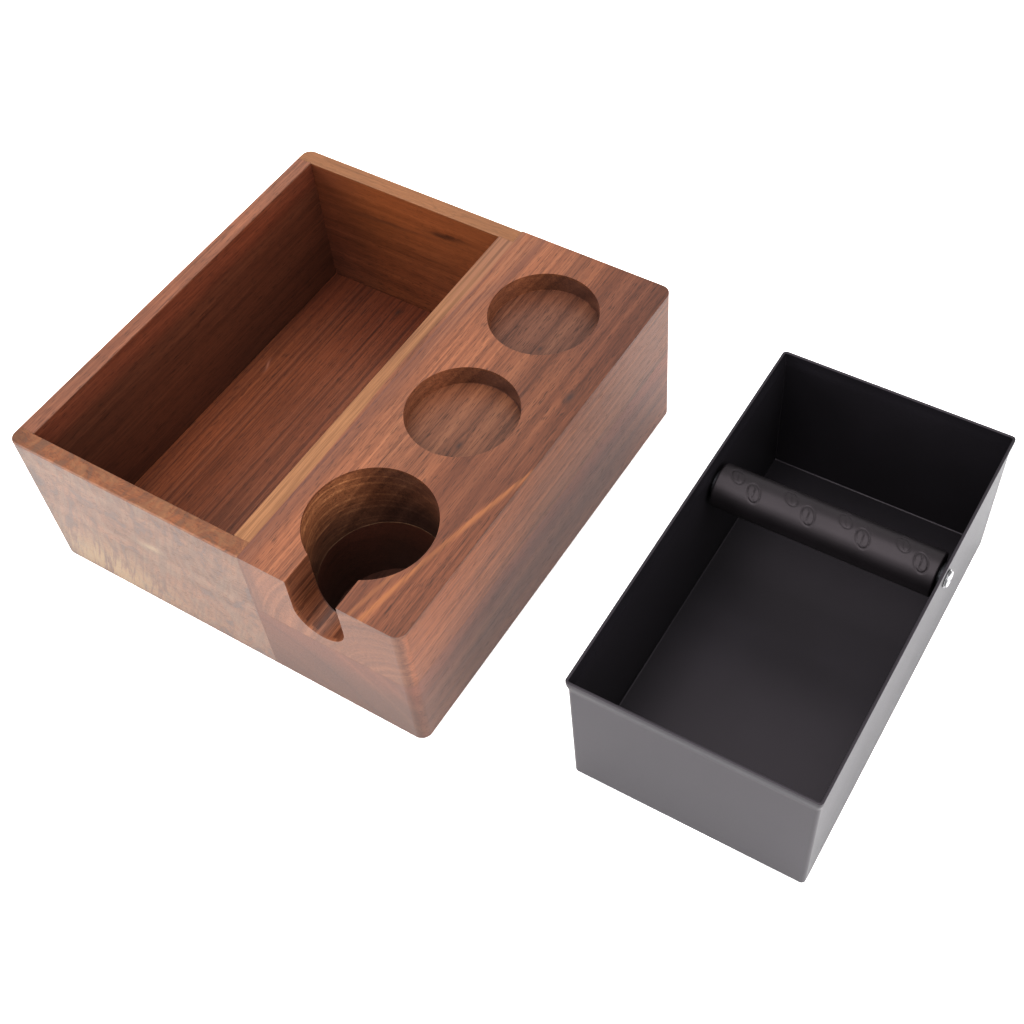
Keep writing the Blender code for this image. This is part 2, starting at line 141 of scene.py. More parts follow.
def cut(obj, cutters):
    """Take every cutter out of an object."""
    for cutter in cutters:
        modifier = obj.modifiers.new(cutter.name, "BOOLEAN")
        modifier.operation = "DIFFERENCE"
        modifier.solver = "EXACT"
        modifier.object = cutter
    settle(obj)


def bridge(bm, lower, upper):
    """Join two rings of points by a band of faces."""
    for i, corner in enumerate(lower):
        j = (i + 1) % len(lower)
        bm.faces.new((corner, lower[j], upper[j], upper[i]))


def prism(name, outline, low, high):
    """A solid with a flat outline, from one height to another."""
    bm = bmesh.new()
    below = [bm.verts.new((x, y, low)) for x, y in outline]
    above = [bm.verts.new((x, y, high)) for x, y in outline]
    bm.faces.new(below[::-1])
    bm.faces.new(above)
    bridge(bm, below, above)
    return add_object(name, bm)


def arc(centre, radius, start, end, steps):
    """Points along an arc, with its angles in degrees."""
    points = []
    for i in range(steps + 1):
        angle = math.radians(start + (end - start) * i / steps)
        points.append((centre[0] + radius * math.cos(angle), centre[1] + radius * math.sin(angle)))
    return points


def upright_cutter(name, x, y, radius, low, high, steps=WELL_STEPS):
    return prism(name, arc((x, y), radius, 0, 360 - 360 / steps, steps - 1), low, high)


def box_cutter(name, low, high):
    outline = [(low[0], low[1]), (high[0], low[1]), (high[0], high[1]), (low[0], high[1])]
    return prism(name, outline, low[2], high[2])


def slot_cutter():
    """Half round below and straight above, run out through the front face."""
    outline = arc((WELL_X, SLOT_MIDDLE), SLOT_RADIUS, 180, 360, WELL_STEPS // 2)
    outline += [(WELL_X + SLOT_RADIUS, TOP + PAST), (WELL_X - SLOT_RADIUS, TOP + PAST)]
    slot = prism("slot_cutter", outline, 0, DEEP_WELL - FRONT + PAST)
    slot.data.transform(Matrix.Rotation(math.pi / 2, 4, "X"))
    slot.data.transform(Matrix.Translation((0, DEEP_WELL, 0)))
    return slot


def nodes_named(start):
    """Each node whose name starts so, with its box's corners and middle."""
    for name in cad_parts:
        if name.startswith(start):
            low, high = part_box(name)
            yield name, low, high, (low + high) / 2


def dowel_cutters():
    """Holes for the dowels, a little larger than each."""
    cutters = {}
    for name, low, high, middle in nodes_named("dowel"):
        radius = (high.x - low.x) / 2 + CLEARANCE
        length = high.y - low.y + 2 * CLEARANCE
        hole = upright_cutter("hole_" + name, 0, 0, radius, 0, length, DOWEL_STEPS)
        hole.data.transform(Matrix.Rotation(-math.pi / 2, 4, "X"))
        hole.data.transform(Matrix.Translation((middle.x, low.y - CLEARANCE, middle.z)))
        cutters[name] = hole
    return cutters


def foot_cutters():
    """Recesses for the feet, a little larger than each."""
    cutters = {}
    for name, low, high, middle in nodes_named("foot"):
        radius = (high.x - low.x) / 2 + CLEARANCE
        cutters[name] = upright_cutter("recess_" + name, middle.x, middle.y, radius, -PAST,
                                       high.z + CLEARANCE, FOOT_STEPS)
    return cutters


def groove_cutter():
    """The groove round the compartment that holds the floor board."""
    low = (FLOOR_LOW.x - CLEARANCE, FLOOR_LOW.y - CLEARANCE, TONGUE_LOW - CLEARANCE)
    high = (FLOOR_HIGH.x + CLEARANCE, FLOOR_HIGH.y + CLEARANCE, TONGUE_HIGH + CLEARANCE)
    return box_cutter("groove_cutter", low, high)


def split_at(obj, places):
    """Add edge loops where a board's edge changes from free to glued."""
    bm = bmesh.new()
    bm.from_mesh(obj.data)
    for axis, value in places:
        point = Vector((0, 0, 0))
        normal = Vector((0, 0, 0))
        point[axis] = value
        normal[axis] = 1
        bmesh.ops.bisect_plane(bm, geom=bm.verts[:] + bm.edges[:] + bm.faces[:], dist=MERGE,
                               plane_co=point, plane_no=normal)
    bm.to_mesh(obj.data)
    bm.free()


def ease(obj, weight_of):
    """Round the sharp edges by the share of EDGE_RADIUS that weight_of gives for each."""
    bm = bmesh.new()
    bm.from_mesh(obj.data)
    bmesh.ops.remove_doubles(bm, verts=bm.verts, dist=MERGE)
    bmesh.ops.dissolve_degenerate(bm, edges=bm.edges, dist=MERGE)
    layer = bm.edges.layers.float.new("bevel_weight_edge")
    for edge in bm.edges:
        if len(edge.link_faces) == 2 and edge.calc_face_angle() > math.radians(SMOOTH_ANGLE):
            middle = (edge.verts[0].co + edge.verts[1].co) / 2
            along = (edge.verts[1].co - edge.verts[0].co).normalized()
            edge[layer] = weight_of(middle, along)
    bm.to_mesh(obj.data)
    bm.free()
    bevel = obj.modifiers.new("ease", "BEVEL")
    bevel.limit_method = "WEIGHT"
    bevel.width = EDGE_RADIUS
    bevel.segments = EDGE_STEPS
    bevel.use_clamp_overlap = True
    settle(obj)
    even_normals(obj, NORMAL_WEIGHT)


def near(a, b):
    return abs(a - b) < NEAR


def block_weight(middle, along):
    """How much an edge of the block's slabs is eased. Glued edges stay crisp."""
    x, y, z = middle
    if near(z, SLAB_JOINT) or near(x, LAP_END) and not BOARD_FRONT < y < BOARD_BACK:
        return 0
    if x < LAP_END + MERGE and (near(y, BOARD_FRONT) or near(y, BOARD_BACK)):
        return 0
    if z < UNDERSIDE + NEAR:
        outer = near(x, RIGHT) or y < FRONT + CORNER_RADIUS or y > BACK - CORNER_RADIUS
        return BOTTOM_EASE if outer else 0
    if z < TOP - NEAR and y > FRONT + NEAR:
        over_slot = abs(x - WELL_X) < DEEP_RADIUS and y < DEEP_WELL
        slot_mouth = over_slot and abs(along.y) < ALONG and z > SLOT_MIDDLE - SLOT_RADIUS - NEAR
        return INNER_EASE if slot_mouth else 0
    rim = math.hypot(x - WELL_X, y - DEEP_WELL) < DEEP_RADIUS + RIM_REACH
    for well in SHALLOW_WELLS:
        rim = rim or math.hypot(x - WELL_X, y - well) < SHALLOW_RADIUS + RIM_REACH
    slot = abs(x - WELL_X) < SLOT_RADIUS + SLOT_REACH and y < DEEP_WELL
    if rim or slot or near(x, BLOCK_LEFT):
        return INNER_EASE
    return 1


def board_weight(middle, along):
    """How much an edge of the compartment's thin boards is eased."""
    x, y, z = middle
    if near(x, LAP_END) or abs(along.z) > ALONG:
        return 0
    inner_face = near(y, BOARD_FRONT) or near(y, BOARD_BACK)
    if inner_face and not BOARD_LEFT < x < BLOCK_LEFT:
        return 0
    if z < UNDERSIDE + NEAR:
        outer = x < LEFT + CORNER_RADIUS or near(y, FRONT) or near(y, BACK)
        return BOTTOM_EASE if outer else 0
    if z < TOP - NEAR:
        return 0
    return INNER_EASE if inner_face or near(x, BOARD_LEFT) else 1


def block_outline():
    """The slabs' plan, with steps in its left corners for the ends of the thin boards."""
    radius = CORNER_RADIUS
    front_corner = arc((RIGHT - radius, FRONT + radius), radius, -90, 0, CORNER_STEPS)
    back_corner = arc((RIGHT - radius, BACK - radius), radius, 0, 90, CORNER_STEPS)
    lap = LAP_END + SEAM
    return ([(lap, FRONT)] + front_corner + back_corner
            + [(lap, BACK), (lap, BOARD_BACK - SEAM), (BLOCK_LEFT, BOARD_BACK - SEAM),
               (BLOCK_LEFT, BOARD_FRONT + SEAM), (lap, BOARD_FRONT + SEAM)])


def front_outline():
    """The front board's plan, with its outer left corner rounded."""
    radius = CORNER_RADIUS
    lap = LAP_END - SEAM
    corner = arc((LEFT + radius, FRONT + radius), radius, 180, 270, CORNER_STEPS)
    return [(lap, FRONT), (lap, BOARD_FRONT - SEAM), (LEFT, BOARD_FRONT - SEAM)] + corner


def back_outline():
    """The back board's plan, with its outer left corner rounded."""
    radius = CORNER_RADIUS
    lap = LAP_END - SEAM
    corner = arc((LEFT + radius, BACK - radius), radius, 90, 180, CORNER_STEPS)
    return [(lap, BOARD_BACK + SEAM), (lap, BACK)] + corner + [(LEFT, BOARD_BACK + SEAM)]


def station():
    """The block's two slabs and the compartment's standing boards, each with its material."""
    dowel_holes = dowel_cutters()
    recesses = foot_cutters()
    groove = groove_cutter()
    deep = upright_cutter("deep_cutter", WELL_X, DEEP_WELL, DEEP_RADIUS, DEEP_FLOOR, TOP + PAST)
    wells = [upright_cutter("well_cutter_%d" % i, WELL_X, y, SHALLOW_RADIUS, SHALLOW_FLOOR, TOP + PAST)
             for i, y in enumerate(SHALLOW_WELLS)]
    slot = slot_cutter()

    def holes(corner, levels=("low", "high")):
        return [dowel_holes["dowel_%s_%s" % (corner, level)] for level in levels]

    top = prism("walnut_top_slab", block_outline(), SLAB_JOINT + SEAM, TOP)
    cut(top, [deep] + wells + [slot] + holes("front_lap", ("high",)) + holes("back_lap", ("high",)))
    base = prism("walnut_base_slab", block_outline(), UNDERSIDE, SLAB_JOINT - SEAM)
    cut(base, [deep, groove, recesses["foot_front_right"], recesses["foot_back_right"]]
        + holes("front_lap", ("low",)) + holes("back_lap", ("low",)))
    for slab in (top, base):
        ease(slab, block_weight)

    front = prism("walnut_front_board", front_outline(), UNDERSIDE, TOP)
    split_at(front, [(0, BOARD_LEFT), (0, BLOCK_LEFT)])
    cut(front, [groove] + holes("front_left") + holes("front_lap"))
    back = prism("walnut_back_board", back_outline(), UNDERSIDE, TOP)
    split_at(back, [(0, BOARD_LEFT), (0, BLOCK_LEFT)])
    cut(back, [groove] + holes("back_left") + holes("back_lap"))
    side = box_cutter("walnut_side_board", (LEFT, BOARD_FRONT + SEAM, UNDERSIDE),
                      (BOARD_LEFT, BOARD_BACK - SEAM, TOP))
    cut(side, [groove] + holes("front_left") + holes("back_left"))
    for board in (front, back, side):
        ease(board, board_weight)

    for cutter in list(dowel_holes.values()) + list(recesses.values()) + [groove, deep, slot] + wells:
        bpy.data.objects.remove(cutter, do_unlink=True)
    return {"top_block": (top, "walnut_top"), "base_block": (base, "walnut_base"),
            "front_board": (front, "walnut_burl"), "back_board": (back, "walnut_back"),
            "side_board": (side, "walnut_side")}


# Bin -------------------------------------------------------------

# The bin stands a little turned from square, so its pieces are built straight in a frame of their
# own, about the middle of its base, and then turned into place.

BIN_TURN = math.radians(1.0)
BIN_WALL = 0.0015
BIN_CORNER = 0.0022
BIN_INNER_CORNER = 0.0008
BIN_CORNER_STEPS = 10
BIN_FOOT = 0.0018
BIN_FILLET = 0.0010
RIM_FLARE = 0.0009
RIM_HEIGHT = 0.009
RIM_UPRIGHT = 0.2
BIN_DRAFT = 0.0002
LIP = 0.00045
FOOT_ROUND_STEPS = 6
FLARE_STEPS = 10
LIP_STEPS = 5
SCREW_HOLE = 0.0033
SCREW_HOLE_STEPS = 32
SLEEVE_EASE = 0.0008

BIN_LOW, BIN_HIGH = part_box("bin_shell")
BIN_HEIGHT = BIN_HIGH.z
BIN_PLACE = Vector(((BIN_LOW.x + BIN_HIGH.x) / 2, (BIN_LOW.y + BIN_HIGH.y) / 2, 0))
INTO_BIN = Matrix.Translation(BIN_PLACE) @ Matrix.Rotation(BIN_TURN, 4, "Z")
TURN_COS = math.cos(BIN_TURN)
TURN_SIN = math.sin(BIN_TURN)


def straight_half_sizes():
    """Half the bin's width and depth before its turn, from the turned node's box."""
    reach_x = (BIN_HIGH.x - BIN_LOW.x) / 2 - BIN_CORNER
    reach_y = (BIN_HIGH.y - BIN_LOW.y) / 2 - BIN_CORNER
    spread = TURN_COS ** 2 - TURN_SIN ** 2
    half_x = (reach_x * TURN_COS - reach_y * TURN_SIN) / spread
    half_y = (reach_y * TURN_COS - reach_x * TURN_SIN) / spread
    return half_x + BIN_CORNER, half_y + BIN_CORNER


BIN_HALF_X, BIN_HALF_Y = straight_half_sizes()
SLEEVE_LOW, SLEEVE_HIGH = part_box("bar_sleeve")
BAR = INTO_BIN.inverted() @ ((SLEEVE_LOW + SLEEVE_HIGH) / 2)
SLEEVE_RADIUS = (SLEEVE_HIGH.z - SLEEVE_LOW.z) / 2
SLEEVE_HALF = ((SLEEVE_HIGH.x - SLEEVE_LOW.x) / 2 - (SLEEVE_RADIUS - SLEEVE_EASE) * TURN_SIN) / TURN_COS


def rounded_ring(inset, height, radius):
    """A level ring of points round the bin, so far inside its rim's outermost outline."""
    half_x = BIN_HALF_X - inset - radius
    half_y = BIN_HALF_Y - inset - radius
    points = []
    for sign_x, sign_y, start in ((1, 1, 0), (-1, 1, 90), (-1, -1, 180), (1, -1, 270)):
        points += arc((sign_x * half_x, sign_y * half_y), radius, start, start + 90, BIN_CORNER_STEPS)
    return [Vector((x, y, height)) for x, y in points]


def wall_inset(height):
    """How far the outer wall lies inside the rim's outline at a height."""
    into = (height - (BIN_HEIGHT - RIM_HEIGHT)) / (RIM_HEIGHT * (1 - RIM_UPRIGHT))
    into = min(max(into, 0.0), 1.0)
    draft = BIN_DRAFT * (1 - height / BIN_HEIGHT)
    return draft + RIM_FLARE * (1 - math.sin(into * math.pi / 2) ** 2)


def loft(name, rings):
    """A closed skin through level rings, with a flat face on the first and the last."""
    bm = bmesh.new()
    loops = [[bm.verts.new(point) for point in ring] for ring in rings]
    for lower, upper in zip(loops, loops[1:]):
        bridge(bm, lower, upper)
    bm.faces.new(loops[0][::-1])
    bm.faces.new(loops[-1])
    return add_object(name, bm)


def quarter_turn(steps, first=0):
    """The sine and cosine at even steps through a right angle."""
    angles = [step / steps * math.pi / 2 for step in range(first, steps + 1)]
    return [(math.sin(angle), math.cos(angle)) for angle in angles]


def bin_shell():
    """The moulded shell: up the outside, over the lip, and down the inside to the floor."""
    heights = [10 * MM, 25 * MM, 45 * MM, 65 * MM, BIN_HEIGHT - RIM_HEIGHT]
    heights += [BIN_HEIGHT - RIM_HEIGHT * (1 - step / FLARE_STEPS) for step in range(1, FLARE_STEPS - 1)]
    base_inset = wall_inset(0)
    rings = []
    for sine, cosine in quarter_turn(FOOT_ROUND_STEPS):
        inset = base_inset + BIN_FOOT * (1 - sine)
        rings.append(rounded_ring(inset, BIN_FOOT * (1 - cosine), BIN_CORNER))
    for height in heights:
        rings.append(rounded_ring(wall_inset(height), height, BIN_CORNER))
    for sine, cosine in quarter_turn(LIP_STEPS, 1):
        rings.append(rounded_ring(LIP * (1 - cosine), BIN_HEIGHT - LIP * (1 - sine), BIN_CORNER))
    for sine, cosine in quarter_turn(LIP_STEPS):
        inset = BIN_WALL - LIP * (1 - sine)
        rings.append(rounded_ring(inset, BIN_HEIGHT - LIP * (1 - cosine), BIN_INNER_CORNER))
    for height in heights[::-1]:
        rings.append(rounded_ring(wall_inset(height) + BIN_WALL, height, BIN_INNER_CORNER))
    for sine, cosine in quarter_turn(LIP_STEPS):
        inset = base_inset + BIN_WALL + BIN_FILLET * (1 - cosine)
        rings.append(rounded_ring(inset, BIN_WALL + BIN_FILLET * (1 - sine), BIN_INNER_CORNER))
    shell = loft("bin_shell_skin", rings)
    reach = BIN_HALF_X + PAST
    hole = upright_cutter("screw_hole", BAR.y, BAR.z, SCREW_HOLE, -reach, reach, SCREW_HOLE_STEPS)
    hole.data.transform(Matrix(((0, 0, 1, 0), (1, 0, 0, 0), (0, 1, 0, 0), (0, 0, 0, 1))))
    cut(shell, [hole])
    bpy.data.objects.remove(hole, do_unlink=True)
    even_normals(shell)
    shell.data.transform(INTO_BIN)
    return shell


# The sleeve and its moulded coffee beans are in millimetres. A bean's place is along the bar and
# round it from its top, where minus is towards the front.
PAIR_MIDDLES = (-44.6, -14.7, 14.6, 45.0)
PAIR_REACH = 14
BIG_BEAN = {"place": (5.7, -5.2), "half": (3.3, 5.2), "lean": 29}
SMALL_BEAN = {"place": (-5.5, 0.4), "half": (3.0, 4.6), "lean": 42}
BEAN_CROWN = 0.06
BEAN_OUTLINE = 0.30
BEAN_LINE = 0.31        # half the width of a moulded line
BEAN_CREASE = 0.24
CREASE_SWING = 0.28     # how far the S of the crease swings out, as a share of the half width
STROKE = 0.20
STROKES = ((1.34, 5, 82), (1.58, 20, 66))   # each stroke beside a bean: its reach, start and end
STROKE_FADE = 12        # degrees at each end of a stroke
SLEEVE_WALL = 5.7
BORE_EDGE = 0.3
FINE_START = -58        # the beans' stretch round the bar, in degrees
FINE_END = 38
FINE_STEPS = 60
COARSE_STEPS = 44
LENGTH_STEPS = 350


def groove(distance, depth, half=BEAN_LINE):
    """A moulded line's height, at a distance from its middle."""
    return -depth * math.exp(-(distance / half) ** 2)


def bean_height(u, v, bean, middle):
    """The relief of one bean at a point of the unrolled sleeve."""
    lean = math.radians(bean["lean"])
    across = u - middle - bean["place"][0]
    up = v - bean["place"][1]
    s = across * math.cos(lean) + up * math.sin(lean)
    t = -across * math.sin(lean) + up * math.cos(lean)
    half_s, half_t = bean["half"]
    if abs(s) > 1.7 * half_s or abs(t) > 1.5 * half_t:
        return 0.0
    share = math.hypot(s / half_s, t / half_t)
    edge = (share - 1) * half_s * (0.75 + 0.25 * abs(t) / half_t)
    height = groove(edge, BEAN_OUTLINE)
    if share < 1:
        height += BEAN_CROWN * (1 - share ** 4)
        crease = CREASE_SWING * half_s * math.sin(t / half_t * math.pi * 0.95)
        fade = min(1.0, (1 - abs(t) / half_t) * 4)
        height += groove(s - crease, BEAN_CREASE * fade, BEAN_LINE * 0.9)
    angle = math.degrees(math.atan2(t / half_t, s / half_s))
    for reach, start, end in STROKES:
        if start < angle < end:
            fade = min(1.0, (angle - start) / STROKE_FADE, (end - angle) / STROKE_FADE)
            height += groove((share - reach) * half_s, STROKE * fade, BEAN_LINE * 0.8)
    return height


def sleeve_relief(u, v):
    """How far the moulded beans lift the sleeve's surface at a point."""
    total = 0.0
    for middle in PAIR_MIDDLES:
        if abs(u - middle) < PAIR_REACH:
            total += bean_height(u, v, BIG_BEAN, middle) + bean_height(u, v, SMALL_BEAN, middle)
    return total


def sleeve_rings(radius):
    """The tube's profile, as a place along the bar and a radius for each ring of points."""
    half = SLEEVE_HALF / MM
    round_off = SLEEVE_EASE / MM
    bore = radius - SLEEVE_WALL
    end = [(-half, bore), (-half, bore + BORE_EDGE), (-half, radius - round_off)]
    for sine, cosine in quarter_turn(3)[1:3]:
        end.append((-half + round_off * (1 - cosine), radius - round_off * (1 - sine)))
    inner = half - round_off
    length = [(-inner + 2 * inner * i / LENGTH_STEPS, radius) for i in range(LENGTH_STEPS + 1)]
    return end + length + [(-u, r) for u, r in end[::-1]]


def knock_sleeve():
    """The rubber tube, with a fine grid where its beans are and a coarse one elsewhere."""
    radius = SLEEVE_RADIUS / MM
    fine = FINE_END - FINE_START
    angles = [math.radians(FINE_START + fine * i / FINE_STEPS) for i in range(FINE_STEPS)]
    angles += [math.radians(FINE_END + (360 - fine) * i / COARSE_STEPS) for i in range(COARSE_STEPS)]
    relief_end = (SLEEVE_HALF - SLEEVE_EASE) / MM - 1
    bm = bmesh.new()
    loops = []
    for u, r in sleeve_rings(radius):
        loop = []
        for angle in angles:
            lift = 0.0
            if r == radius and abs(u) < relief_end and angle < math.radians(FINE_END + 2):
                lift = sleeve_relief(u, angle * radius)
            place = (u * MM, math.sin(angle) * (r + lift) * MM, math.cos(angle) * (r + lift) * MM)
            loop.append(bm.verts.new(Vector(place) + BAR))
        loops.append(loop)
    for first, second in zip(loops, loops[1:] + loops[:1]):
        bridge(bm, first, second)
    sleeve = add_object("knock_bar_sleeve", bm)
    sleeve.data.shade_smooth()
    sleeve.data.set_sharp_from_angle(angle=math.radians(SMOOTH_ANGLE))
    sleeve.data.transform(INTO_BIN)
    return sleeve


# Materials -------------------------------------------------------

TOP_FACE = TOP / MM
WALNUT = ((0.078, 0.029, 0.015), (0.168, 0.069, 0.036), (0.250, 0.114, 0.060))
END_GRAIN = (0.68, 0.66, 0.61)
KNOT_HEART = (0.022, 0.016, 0.016)
WOOD_ROUGHNESS = 0.42


class Look:
    """A procedural material, built from sums of node sockets."""

    def __init__(self, name):
        self.material = bpy.data.materials.new(name)
        self.material.use_nodes = True
        self.tree = self.material.node_tree
        self.shader = self.tree.nodes["Principled BSDF"]

    def new(self, kind, inputs=None, **settings):
        node = self.tree.nodes.new(kind)
        for key, value in settings.items():
            setattr(node, key, value)
        for key, value in (inputs or {}).items():
            self.feed(node.inputs[key], value)
        return node

    def feed(self, socket, value):
        if isinstance(value, bpy.types.NodeSocket):
            self.tree.links.new(value, socket)
        else:
            socket.default_value = value

    def set(self, name, value):
        self.feed(self.shader.inputs[name], value)

    def point(self, origin=CORNER, scale=1 / MM):
        """Where a point is on the model, in millimetres from an origin."""
        coords = self.new("ShaderNodeTexCoord").outputs["Object"]
        mapping = self.new("ShaderNodeMapping", {"Vector": coords, "Scale": (scale,) * 3,
                                                 "Location": tuple(-scale * Vector(origin))})
        return mapping.outputs[0]

    def split(self, vector):
        return self.new("ShaderNodeSeparateXYZ", {0: vector}).outputs[:]

    def join(self, x, y, z):
        return self.new("ShaderNodeCombineXYZ", {0: x, 1: y, 2: z}).outputs[0]

    def math(self, operation, a, b=0.0, c=0.0):
        return self.new("ShaderNodeMath", {0: a, 1: b, 2: c}, operation=operation).outputs[0]

    def add(self, a, b):
        return self.math("ADD", a, b)

    def mul(self, a, b):
        return self.math("MULTIPLY", a, b)

    def madd(self, a, b, c):
        return self.math("MULTIPLY_ADD", a, b, c)

    def product(self, first, *others):
        for other in others:
            first = self.mul(first, other)
        return first

    def noise(self, vector, scale=1.0, detail=2.0, roughness=0.5, distortion=0.0):
        node = self.new("ShaderNodeTexNoise", {"Vector": vector, "Scale": scale, "Detail": detail,
                                               "Roughness": roughness, "Distortion": distortion})
        return node.outputs[0]

    def noise_line(self, w, scale=1.0, detail=2.0, roughness=0.5):
        node = self.new("ShaderNodeTexNoise", noise_dimensions="1D")
        for key, value in (("W", w), ("Scale", scale), ("Detail", detail), ("Roughness", roughness)):
            self.feed(node.inputs[key], value)
        return node.outputs[0]

    def smooth(self, value, low, high):
        """0 below low, 1 above high, with soft ends. low may be the larger."""
        node = self.new("ShaderNodeMapRange", {"Value": value}, interpolation_type="SMOOTHSTEP")
        if low < high:
            settings = (low, high, 0.0, 1.0)
        else:
            settings = (high, low, 1.0, 0.0)
        for key, number in zip(("From Min", "From Max", "To Min", "To Max"), settings):
            node.inputs[key].default_value = number
        return node.outputs[0]

    def band(self, value, start, full, last, end):
        """1 from full to last, with soft ends down to 0 at start and end."""
        return self.mul(self.smooth(value, start, full), self.smooth(value, end, last))

    def ramp(self, factor, stops):
        node = self.new("ShaderNodeValToRGB", {"Fac": factor})
        elements = node.color_ramp.elements
        while len(elements) < len(stops):
            elements.new(1.0)
        for element, (position, colour) in zip(elements, stops):
            element.position = position
            element.color = (*colour, 1)
        return node.outputs[0]

    def mix(self, factor, a, b, blend="MIX"):
        node = self.new("ShaderNodeMix", data_type="RGBA", blend_type=blend)
        self.feed(node.inputs["Factor"], factor)
        for key, value in (("A", a), ("B", b)):
            socket = [s for s in node.inputs if s.name == key and s.type == "RGBA"][0]
            self.feed(socket, (*value, 1) if isinstance(value, tuple) and len(value) == 3 else value)
        return [s for s in node.outputs if s.type == "RGBA"][0]

    def bump(self, height, strength, distance):
        node = self.new("ShaderNodeBump", {"Height": height, "Strength": strength, "Distance": distance})
        self.set("Normal", node.outputs[0])

    def hypot(self, a, b):
        return self.math("SQRT", self.madd(a, a, self.mul(b, b)))

    def away(self, x, y, at_x, at_y):
        """How far a point is from an upright axis, in millimetres; the axis is placed in metres."""
        return self.hypot(self.add(x, (LEFT - at_x) / MM), self.add(y, (FRONT - at_y) / MM))

    def centred(self, noise, spread):
        """Noise between 0 and 1 made to vary about 0, by so much in all."""
        return self.madd(noise, spread, -0.5 * spread)

    def tint(self, colour, mask, share, tone):
        """A colour turned towards a tone by a share, where the mask is 1."""
        return self.mix(self.mul(mask, share), colour, tone)

    def gain(self, factor, colour, gains):
        """A colour multiplied by gains where the factor is 1."""
        return self.mix(factor, colour, self.mix(1.0, colour, gains, "MULTIPLY"))

    def spot(self, a, b, place, reach):
        """1 at a place on a face, falling to 0 over a reach that may differ both ways."""
        da = self.madd(a, 1 / reach[0], -place[0] / reach[0])
        db = self.madd(b, 1 / reach[1], -place[1] / reach[1])
        return self.math("EXPONENT", self.mul(self.madd(da, da, self.mul(db, db)), -1.0))


def walnut(name, grain, tones, pith, spacing, wander=3.0, knots=(), marks=None, contrast=1.0,
           seed=0.0, curl=0.0):
    """A solid walnut: growth rings about a line along the grain, fibres, pores and knots.

    pith is the rings' centre in the other two axes, in millimetres, and tones are its dark,
    middle and light colours. marks adds a board's own features, and light and shade painted on it, to
    the colour."""
    look = Look(name)
    x, y, z = look.split(look.point())
    along, across, up = {"X": (x, y, z), "Y": (y, x, z)}[grain]
    face = (across, along) if grain == "Y" else (up, along)

    def fibre(wide, long, shift, *noise):
        down = look.madd(along, long, seed + shift)
        return look.noise(look.join(look.mul(across, wide), down, look.mul(up, wide)), 1.0, *noise)

    push = look.centred(fibre(0.016, 0.006, 0.0), 2 * wander)
    if curl:
        push = look.add(push, look.centred(fibre(0.03, 0.022, 7.0, 3.0, 0.6, 1.2), 2 * curl))
    for place_a, place_b, size in knots:
        near_knot = look.spot(*face, (place_a, place_b), (1.6 * size, 4.0 * size))
        side = look.math("SINE", look.math("DIVIDE", look.add(face[0], -place_a), 1.2 * size))
        push = look.add(push, look.product(near_knot, side, -0.9 * size))
    across = look.add(across, push)
    up = look.madd(push, 0.6, up)
    ring = look.hypot(look.add(across, -pith[0]), look.add(up, -pith[1]))
    rings = look.noise_line(look.madd(ring, 1 / spacing, seed), 1.0, 4.0, 0.70)
    streaks = fibre(0.55, 0.008, 0.0, 3.0, 0.6)
    fine = fibre(1.5, 0.030, 3.0, 3.0, 0.6)
    hair = fibre(2.6, 0.14, 5.0, 1.0, 0.6)
    coarse = look.add(look.centred(rings, 1.10), look.centred(streaks, 1.00))
    tone = look.add(coarse, look.centred(fine, 1.05))
    dark, middle, light = tones
    colour = look.ramp(look.madd(tone, contrast, 0.5), [(0.0, dark), (0.5, middle), (1.0, light)])
    pores = look.smooth(hair, 0.56, 0.70)       # short dark dashes along the grain
    colour = look.tint(colour, pores, 0.64, tuple(0.42 * c for c in dark))
    shade = look.noise(look.join(look.mul(x, 0.02), look.mul(y, 0.012), look.mul(z, 0.02)))
    colour = look.gain(look.smooth(shade, 0.3, 0.7), colour, (1.14, 1.08, 1.02))
    if marks:
        colour = marks(look, colour, {"x": x, "y": y, "z": z, "push": push, "fine": fine,
                                      "streaks": streaks})
    for place_a, place_b, size in knots:
        heart = look.spot(*face, (place_a, place_b), (0.6 * size, 1.2 * size))
        halo = look.spot(*face, (place_a, place_b), (1.4 * size, 2.8 * size))
        colour = look.tint(colour, halo, 0.42, dark)
        colour = look.tint(colour, heart, 0.60, KNOT_HEART)
    normal = look.split(look.new("ShaderNodeTexCoord").outputs["Normal"])["XY".index(grain)]
    colour = look.gain(look.smooth(look.mul(normal, normal), 0.25, 0.85), colour, END_GRAIN)
    look.set("Base Color", colour)
    roughness = look.madd(fine, 0.16, WOOD_ROUGHNESS - 0.08)
    look.set("Roughness", look.madd(pores, 0.08, roughness))
    look.bump(look.madd(fine, 0.35, look.mul(pores, -0.8)), 0.25, 0.00012)
    return look.material


# Each board's own marks, and the light and shade painted on it, follow, with their places in millimetres
# from the station's front-left corner. A gain's three numbers are what red, green and blue are
# multiplied by.

def within(look, away, radius):
    """1 out to a well's wall, and 0 past the rounding of its rim."""
    return look.smooth(away, radius / MM + 0.8, radius / MM + 0.4)


def darker_right(look, colour, at, on_top):
    """The wood darkens from the compartment to the right face, on top mostly at the back."""
    amount = look.madd(on_top, look.madd(look.smooth(at["y"], 90.0, 230.0), 0.25, 0.30), 0.45)
    return look.gain(look.mul(look.smooth(at["x"], 175.0, 225.0), amount), colour, (0.68, 0.60, 0.56))


